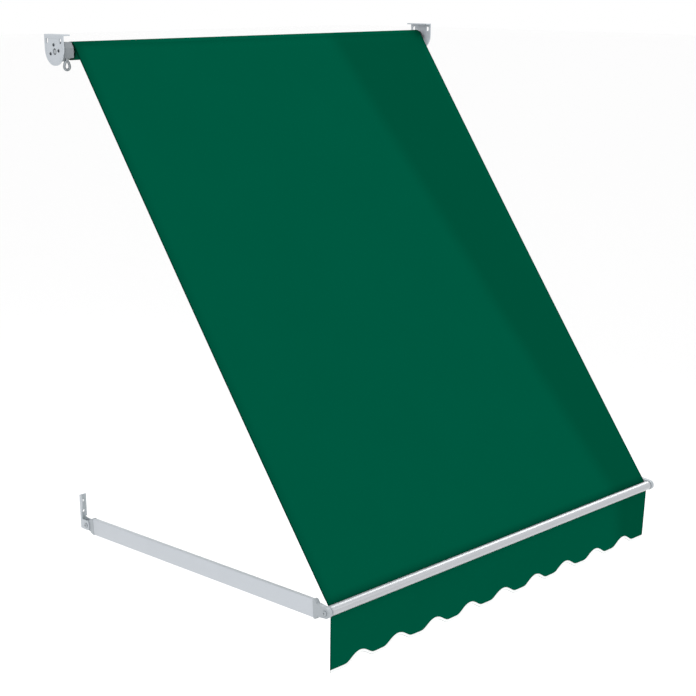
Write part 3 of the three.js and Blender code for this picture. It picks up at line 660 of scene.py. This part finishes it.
TURNS = 5
STEPS_PER_TURN = 72
WOUND_COLUMNS = 5
LAYER = 0.66
wound_turn = np.linspace(0, TURNS * 2 * np.pi, TURNS * STEPS_PER_TURN + 1)
wound_radius = TANGENT_RADIUS - LAYER * wound_turn / (2 * np.pi)
leaving_angle = math.pi / 2 + SLOPE
wound_across = np.linspace(CLOTH_LEFT, CLOTH_RIGHT, WOUND_COLUMNS)
wound_angle = leaving_angle - wound_turn
wound_line = np.stack([
    ROLLER_Y + wound_radius * np.cos(wound_angle), ROLLER_Z + wound_radius * np.sin(wound_angle)
], axis=-1)
wound_length = np.concatenate([[0], np.cumsum(np.hypot(*np.diff(wound_line, axis=0).T))])
wound_x, wound_s = np.meshgrid(wound_across, wound_length + CLOTH_LENGTH, indexing="ij")
wound_grid = np.stack([
    wound_x,
    np.broadcast_to(wound_line[:, 0], wound_x.shape),
    np.broadcast_to(wound_line[:, 1], wound_x.shape),
], axis=-1)
wound_cloth = surface("wound_cloth", wound_grid, uv=np.stack([wound_x, wound_s], axis=-1) * MM)
thickened(wound_cloth, CLOTH_THICK)
ready(wound_cloth, "roller", "green_awning_cloth", green_cloth, "fabric_roll")

# ---------------------------------------------------------------------------------------- front bar
# A round 22 mm extrusion with two keyhole grooves for the cloths' cords, stove enamelled near
# white. Each end has a moulded plug, a washer and a bolt into the arm's lug.

BAR_RADIUS = 11
MOUTH_HALF = 1
MOUTH_DEEP = 1.3
KEYHOLE = 2.8
KEYHOLE_CENTRE = BAR_RADIUS - KEYHOLE - MOUTH_DEEP
LIP = 0.35
LIP_STEPS = 5
SEAT_STEPS = 25
ARC_STEPS = 60


def groove_line(direction):
    """The way into a keyhole groove and out again, in the bar's section: rounded lip, straight
    mouth, round seat, mouth and lip. direction is the groove's angle."""
    mouth = math.asin(MOUTH_HALF / KEYHOLE)
    seat = np.linspace(2 * math.pi - mouth, mouth, SEAT_STEPS)
    outer = math.sqrt(BAR_RADIUS**2 - (MOUTH_HALF + LIP) ** 2)
    bend = np.radians(np.linspace(0, 90, LIP_STEPS))
    lip_in = np.stack([
        outer - LIP + LIP * np.cos(bend), -MOUTH_HALF - LIP + LIP * np.sin(bend)
    ], axis=-1)
    round_seat = np.stack([
        KEYHOLE_CENTRE + KEYHOLE * np.cos(seat), KEYHOLE * np.sin(seat)
    ], axis=-1)
    lip_out = lip_in[::-1] * [1, -1]
    local = np.vstack([lip_in, round_seat, lip_out])
    turn = np.array([[math.cos(direction), math.sin(direction)],
                     [-math.sin(direction), math.cos(direction)]])
    return local @ turn


def bar_section():
    """The bar's outline, anticlockwise: arcs of the full radius between its two grooves."""
    half = math.asin((MOUTH_HALF + LIP) / BAR_RADIUS)
    first, second = SLOPE, 1.5 * math.pi
    arc_one = np.linspace(first + half, second - half, ARC_STEPS)[1:-1]
    arc_two = np.linspace(second + half, first + 2 * math.pi - half, ARC_STEPS)[1:-1]
    arcs = [np.stack([BAR_RADIUS * np.cos(arc), BAR_RADIUS * np.sin(arc)], axis=-1)
            for arc in (arc_one, arc_two)]
    return np.vstack([groove_line(first), arcs[0], groove_line(second), arcs[1]])


def capped(piece, ring_size):
    """Closes the first and last rings of a piece made of stations with ring_size points each."""
    work = bmesh.new()
    work.from_mesh(piece.data)
    corners = list(work.verts)
    for ring in (corners[:ring_size], corners[-ring_size:]):
        work.faces.new(ring)
    bmesh.ops.recalc_face_normals(work, faces=work.faces)
    work.to_mesh(piece.data)
    work.free()
    piece.data.set_sharp_from_angle(angle=CREASE)
    return piece


# Stove enamel on the bar: smoother and whiter than the powder coat, with a soft clear shine.
bar_enamel = grained_material(
    "satin_stove_enamel", "a9acb0", "9ea1a5", (0.16, 0.22), 3.0, 0.01, 0.0, 1.0
)

section = bar_section()
bar_ends = np.array([corner[0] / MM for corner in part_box("front_bar")])
bar_shape = (len(bar_ends), len(section))
bar_points = np.stack([
    np.broadcast_to(bar_ends[:, None], bar_shape),
    np.broadcast_to(BAR_Y + section[:, 0], bar_shape),
    np.broadcast_to(BAR_Z + section[:, 1], bar_shape),
], axis=-1)
front_bar = capped(surface("front_bar_enamelled", bar_points, closed_v=True), len(section))
ready(front_bar, "front_bar_set", "coated_front_bar", bar_enamel, "front_bar")

BAR_PLUG_EDGE = 0.4
WASHER_EDGE = 0.25
BOLT_EDGE = 0.35
for side in ("left", "right"):
    softened(f"{side}_bar_plug", f"{side}_bar_plug_moulded", BAR_PLUG_EDGE, "front_bar_set",
             "grey_plastic", grey_nylon)
    softened(f"{side}_bar_washer", f"{side}_bar_washer_stamped", WASHER_EDGE, "front_bar_set",
             "zinc_plated_steel", zinc_plate)
    softened(f"{side}_bar_bolt", f"{side}_bar_bolt_turned", BOLT_EDGE, "front_bar_set",
             "zinc_plated_steel", zinc_plate)

# ------------------------------------------------------------------------------------------ valance
# A hanging strip of the same cloth, held by a cord in the bar's lower groove. Its foot is cut in
# ten flat tabs with nine round notches between them. It hangs nearly flat, with a slow wave below.

VALANCE_DROP = 138
NOTCH_COUNT = 9
NOTCH_PITCH = 116
NOTCH_WIDTH = 75
NOTCH_DEPTH = 19
NOTCH_SHARPNESS = 1.3
CUT_STEPS = 551
CUT_SOFTENING = 8
WAVE_LENGTH = 290
WAVE_DEPTH = 1.4
WAVE_PHASE = 0.6
LEAN = 3

# The cut edge: each notch is a half sine raised to a power, and the whole line is softened by a
# bell curve that reaches CUT_SOFTENING steps to each side.
edge_x = np.linspace(CLOTH_LEFT, CLOTH_RIGHT, CUT_STEPS)
notch_from_middle = (np.arange(NOTCH_COUNT) - (NOTCH_COUNT - 1) / 2) * NOTCH_PITCH
notch_middle = (CLOTH_LEFT + CLOTH_RIGHT) / 2 + notch_from_middle
notch_share = (edge_x[:, None] - notch_middle[None, :]) / NOTCH_WIDTH + 0.5
inside = (notch_share > 0) & (notch_share < 1)
notch_arch = np.abs(np.sin(np.pi * np.clip(notch_share, 0, 1))) ** NOTCH_SHARPNESS
notch_lift = np.where(inside, notch_arch, 0).sum(axis=1)
softening = np.exp(-np.linspace(-2, 2, 2 * CUT_SOFTENING + 1) ** 2)
padded_lift = np.pad(notch_lift, CUT_SOFTENING, mode="edge")
soft_lift = np.convolve(padded_lift, softening / softening.sum(), "valid")
edge_z = BAR_Z - VALANCE_DROP + NOTCH_DEPTH * soft_lift


def hanging(x, z):
    """Y of the hanging cloth: it leans in towards the wall by LEAN at its foot, and a slow wave
    along it grows as the square of the depth below the bar."""
    depth = np.clip((BAR_Z - BAR_RADIUS - z) / (VALANCE_DROP - BAR_RADIUS), 0, 1)
    wave = np.sin(2 * np.pi * (x - CLOTH_LEFT) / WAVE_LENGTH + WAVE_PHASE)
    return BAR_Y + LEAN * depth - WAVE_DEPTH * depth**2 * wave


VALANCE_ROWS = 31
valance_top = BAR_Z - CLOTH_START
down = np.linspace(0, 1, VALANCE_ROWS)
valance_x = np.broadcast_to(edge_x[:, None], (len(edge_x), len(down)))
valance_z = valance_top + (edge_z[:, None] - valance_top) * down[None, :]
valance_grid = np.stack([valance_x, hanging(valance_x, valance_z), valance_z], axis=-1)
valance_uv = np.stack([valance_x, valance_z - BAR_Z], axis=-1) * MM
valance = thickened(surface("valance_cloth", valance_grid, uv=valance_uv), CLOTH_THICK)
ready(valance, "front_bar_set", "green_awning_cloth", green_cloth, "valance")

# ---------------------------------------------------------------------------------- valance binding
# A white woven tape folded over the scalloped edge and sewn through near its upper edges.

# The tape covers TAPE_UP of the cloth, hangs TAPE_DOWN below the cut edge, lies TAPE_OFF from the
# cloth's middle on each side, and ends TAPE_OVER past the cloth's sides.
TAPE_UP = 5.4
TAPE_DOWN = 0.9
TAPE_OFF = 0.62
TAPE_THICK = 0.35
TAPE_OVER = 0.3
BEND_FROM = 0.2
BEND_DOWN, BEND_OFF = 0.5, 0.48
RIB_SPACING = 0.9
RIB_HEIGHT = 0.1
RIB_STRENGTH = 0.4
# The painted shade under the fold: the distances in mm from its middle where it is full and where
# it is gone, then its strength.
CREASE_FULL, CREASE_GONE = 0.7, 1.5
CREASE_PAINTED_SHADE = 0.9

edge_ahead = np.stack([np.gradient(edge_x), np.gradient(edge_z)], axis=-1)
edge_ahead /= np.linalg.norm(edge_ahead, axis=1, keepdims=True)
edge_up = np.stack([-edge_ahead[:, 1], edge_ahead[:, 0]], axis=-1)
# The tape's section, up the front, round the cut edge and up the back: [above the edge, off it].
fold_front = np.array([
    [TAPE_UP, -TAPE_OFF], [TAPE_UP * 0.5, -TAPE_OFF], [BEND_FROM, -TAPE_OFF],
    [-BEND_DOWN, -BEND_OFF],
])
fold = np.vstack([fold_front, [[-TAPE_DOWN, 0]], fold_front[::-1] * [1, -1]])
tape_x = edge_x[:, None] + edge_up[:, :1] * fold[None, :, 0]
tape_z = edge_z[:, None] + edge_up[:, 1:] * fold[None, :, 0]
tape_x = np.clip(tape_x, CLOTH_LEFT - TAPE_OVER, CLOTH_RIGHT + TAPE_OVER)
tape_y = hanging(tape_x, tape_z) + fold[None, :, 1]
along_edge = np.concatenate([[0], np.cumsum(np.hypot(np.diff(edge_x), np.diff(edge_z)))])
around_fold = np.concatenate([[0], np.cumsum(np.hypot(*np.diff(fold, axis=0).T))])
tape_uv = np.stack(np.meshgrid(along_edge, around_fold, indexing="ij"), axis=-1) * MM

# Woven polyester tape: white and dull, with ribs that cross it every RIB_SPACING.
white_tape, tape_tree, tape_shader = start_material(
    "white_woven_edge_tape", "f4f5f4", 0.8, specular=0.1
)
tape_place = add_node(tape_tree, "UVMap", {"uv_map": "cloth_uv"})
tape_parts = add_node(tape_tree, "SeparateXYZ", None, {0: tape_place.outputs["UV"]})
rib_angle = add_node(
    tape_tree,
    "Math",
    {"operation": "MULTIPLY", 1: 2 * math.pi / (RIB_SPACING * MM)},
    {0: tape_parts.outputs["X"]},
)
ribs = add_node(tape_tree, "Math", {"operation": "SINE"}, {0: rib_angle.outputs[0]})
rib_share = add_node(
    tape_tree, "MapRange", {"From Min": -1.0, "From Max": 1.0}, {"Value": ribs.outputs[0]}
)
rib_tint = add_node(
    tape_tree,
    "Mix",
    {"data_type": "RGBA", 6: linear("dfe2e2"), 7: linear("f7f8f7")},
    {0: rib_share.outputs["Result"]},
)
# Painted shade: along the middle of the tape's width, under the fold, the colour is drawn a little
# grey to stand in for the shade that falls there.
crease_place = add_node(
    tape_tree,
    "Math",
    {"operation": "SUBTRACT", 1: float(around_fold[-1]) / 2 * MM},
    {0: tape_parts.outputs["Y"]},
)
crease_distance = add_node(
    tape_tree, "Math", {"operation": "ABSOLUTE"}, {0: crease_place.outputs[0]}
)
crease_shade_share = add_node(
    tape_tree,
    "MapRange",
    {
        "From Min": CREASE_FULL * MM,
        "From Max": CREASE_GONE * MM,
        "To Min": CREASE_PAINTED_SHADE,
        "To Max": 0.0,
    },
    {"Value": crease_distance.outputs[0]},
)
crease_painted = add_node(
    tape_tree,
    "Mix",
    {"data_type": "RGBA", 7: linear("a8adad")},
    {0: crease_shade_share.outputs[0], 6: rib_tint.outputs[2]},
)
rib_bump = add_node(
    tape_tree,
    "Bump",
    {"Strength": RIB_STRENGTH, "Distance": RIB_HEIGHT * MM},
    {"Height": ribs.outputs[0]},
)
tape_tree.links.new(crease_painted.outputs[2], tape_shader.inputs["Base Color"])
tape_tree.links.new(rib_bump.outputs["Normal"], tape_shader.inputs["Normal"])

binding = surface("valance_binding_tape", np.stack([tape_x, tape_y, tape_z], axis=-1), uv=tape_uv)
thickened(binding, TAPE_THICK)
ready(binding, "front_bar_set", "white_binding_tape", white_tape, "valance_binding")

# The seam: a row of white stitches along the tape's upper edge, each a small flattened bead.
STITCH_PITCH = 3.4
STITCH_HALF = 1.15
STITCH_WIDE = 0.28
SEAM_DOWN = 1.3
SEAM_END = 2.0
stitch_at = np.arange(SEAM_END, along_edge[-1] - SEAM_END, STITCH_PITCH)
stitch_x, stitch_z, stitch_ax, stitch_az = (
    np.interp(stitch_at, along_edge, values)
    for values in (edge_x, edge_z, edge_ahead[:, 0], edge_ahead[:, 1])
)
STITCH_SIDES = 6
bead_turn = full_turn(STITCH_SIDES)
bead_along = np.array([-1.0, -0.6, 0.6, 1.0]) * STITCH_HALF
bead_wide = np.array([0.35, 1.0, 1.0, 0.35]) * STITCH_WIDE
for seam_name, face in (("valance_front_seam", -1), ("valance_back_seam", 1)):
    offset = TAPE_UP - SEAM_DOWN + bead_wide[None, :, None] * np.cos(bead_turn)[None, None, :]
    seam_x = (stitch_x[:, None, None] + stitch_ax[:, None, None] * bead_along[None, :, None]
              - stitch_az[:, None, None] * offset)
    seam_z = (stitch_z[:, None, None] + stitch_az[:, None, None] * bead_along[None, :, None]
              + stitch_ax[:, None, None] * offset)
    seam_y = hanging(seam_x, seam_z) + face * (
        TAPE_OFF + TAPE_THICK / 2 + bead_wide[None, :, None] * np.sin(bead_turn)[None, None, :]
    )
    beads = np.stack([seam_x, seam_y, seam_z], axis=-1) * MM
    count, rows, columns = beads.shape[:3]
    base = np.arange(count)[:, None] * rows * columns
    grid_index = np.arange(rows * columns).reshape(rows, columns)
    wrapped = np.hstack([grid_index, grid_index[:, :1]])
    quads = (base[:, :, None] + corners_of(wrapped).reshape(1, -1, 4)).reshape(-1, 4).tolist()
    caps = np.concatenate([base + end[None, :] for end in (grid_index[0], grid_index[-1])]).tolist()
    seam_mesh = bpy.data.meshes.new(seam_name)
    seam_mesh.from_pydata(beads.reshape(-1, 3).tolist(), [], quads + caps)
    seam = outwards(bpy.data.objects.new(seam_name, seam_mesh))
    ready(seam, "front_bar_set", "white_binding_tape", white_tape)

# --------------------------------------------------------------------------------------------- arms
# Two lengths of 40 by 10 mm aluminium box section, powder coated, with moulded plugs in their ends:
# a tongue on a bolt between the wall bracket's ears, and a collar with a round lug at the bar.

ARM_X = {"left": 0, "right": 1120}
PIVOT_Y = -22
ARM_LENGTH = math.hypot(BAR_Y - PIVOT_Y, BAR_Z)
ARM_RISE = math.asin(BAR_Z / ARM_LENGTH)
ARM_HALF_WIDTH, ARM_HALF_HEIGHT = 5, 20
ARM_WALL = 1.5
ARM_CORNER = 2
ARM_INNER_CORNER = 0.5
CORNER_ANGLES = 6
ARM_FROM = 25
ARM_TO = ARM_LENGTH - 36
END_ROUND = 0.3
END_SHARE = 0.985


def box_section(half_width, half_height, corner):
    """A rectangle with round corners, anticlockwise: [x, height]."""
    turn = np.radians(np.linspace(0, 90, CORNER_ANGLES))
    arcs = []
    for number, (sx, sz) in enumerate(((1, 1), (-1, 1), (-1, -1), (1, -1))):
        angle = turn + number * math.pi / 2
        arcs.append(np.stack([
            sx * (half_width - corner) + corner * np.cos(angle),
            sz * (half_height - corner) + corner * np.sin(angle),
        ], axis=-1))
    return np.vstack(arcs)


# Powder coat on the aluminium arms: satin as on the brackets, and a touch lighter and smoother.
arm_coat = grained_material(
    "satin_powder_coat_on_aluminium", "bbc0c6", "b6bbc1", (0.36, 0.44), 2.0, 0.015
)

WALL_PLUG_EDGE = 0.7
FRONT_PLUG_EDGE = 1.6
outer_section = box_section(ARM_HALF_WIDTH, ARM_HALF_HEIGHT, ARM_CORNER)
inner_section = box_section(
    ARM_HALF_WIDTH - ARM_WALL, ARM_HALF_HEIGHT - ARM_WALL, ARM_INNER_CORNER
)
# Closed loops along the arm, out over its faces and back through its inside: [section, distance].
loops = [
    (outer_section * END_SHARE, ARM_FROM), (outer_section, ARM_FROM + END_ROUND),
    (outer_section, ARM_TO - END_ROUND), (outer_section * END_SHARE, ARM_TO),
    (inner_section, ARM_TO), (inner_section, ARM_FROM),
]
across, upward = np.moveaxis(np.array([loop for loop, _ in loops]), -1, 0)
along = np.array([distance for _, distance in loops])[:, None]
for side, arm_x in ARM_X.items():
    shell = np.stack([
        arm_x + across,
        -along * math.cos(ARM_RISE) + upward * math.sin(ARM_RISE) + PIVOT_Y,
        along * math.sin(ARM_RISE) + upward * math.cos(ARM_RISE),
    ], axis=-1)
    arm = outwards(surface(f"{side}_arm_extruded", shell, closed_u=True, closed_v=True))
    arm.data.set_sharp_from_angle(angle=CREASE)
    ready(arm, f"{side}_arm", "powder_coated_aluminium", arm_coat, f"{side}_arm_profile")
    softened(f"{side}_arm_wall_plug", f"{side}_arm_wall_plug_moulded", WALL_PLUG_EDGE,
             f"{side}_arm", "grey_plastic", grey_nylon)
    softened(f"{side}_arm_front_plug", f"{side}_arm_front_plug_moulded", FRONT_PLUG_EDGE,
             f"{side}_arm", "grey_plastic", grey_nylon)

# -------------------------------------------------------------------------------- arm wall brackets
# Narrow angles pressed from 2.5 mm steel: two ears for the arm's bolt at the foot, a flange and a
# web with two screw holes above, powder coated. Zinc-plated bolts and nuts hold the arms.

BRACKET_EDGE = 0.6
NUT_EDGE = 0.4
for side in ("left", "right"):
    softened(f"{side}_arm_wall_bracket", f"{side}_arm_wall_bracket_pressed", BRACKET_EDGE,
             "wall_mounting", "powder_coated_steel", powder_coat)
    softened(f"{side}_arm_pivot_bolt", f"{side}_arm_pivot_bolt_turned", BOLT_EDGE,
             "wall_mounting", "zinc_plated_steel", zinc_plate)
    softened(f"{side}_arm_pivot_nut", f"{side}_arm_pivot_nut_pressed", NUT_EDGE,
             "wall_mounting", "zinc_plated_steel", zinc_plate)
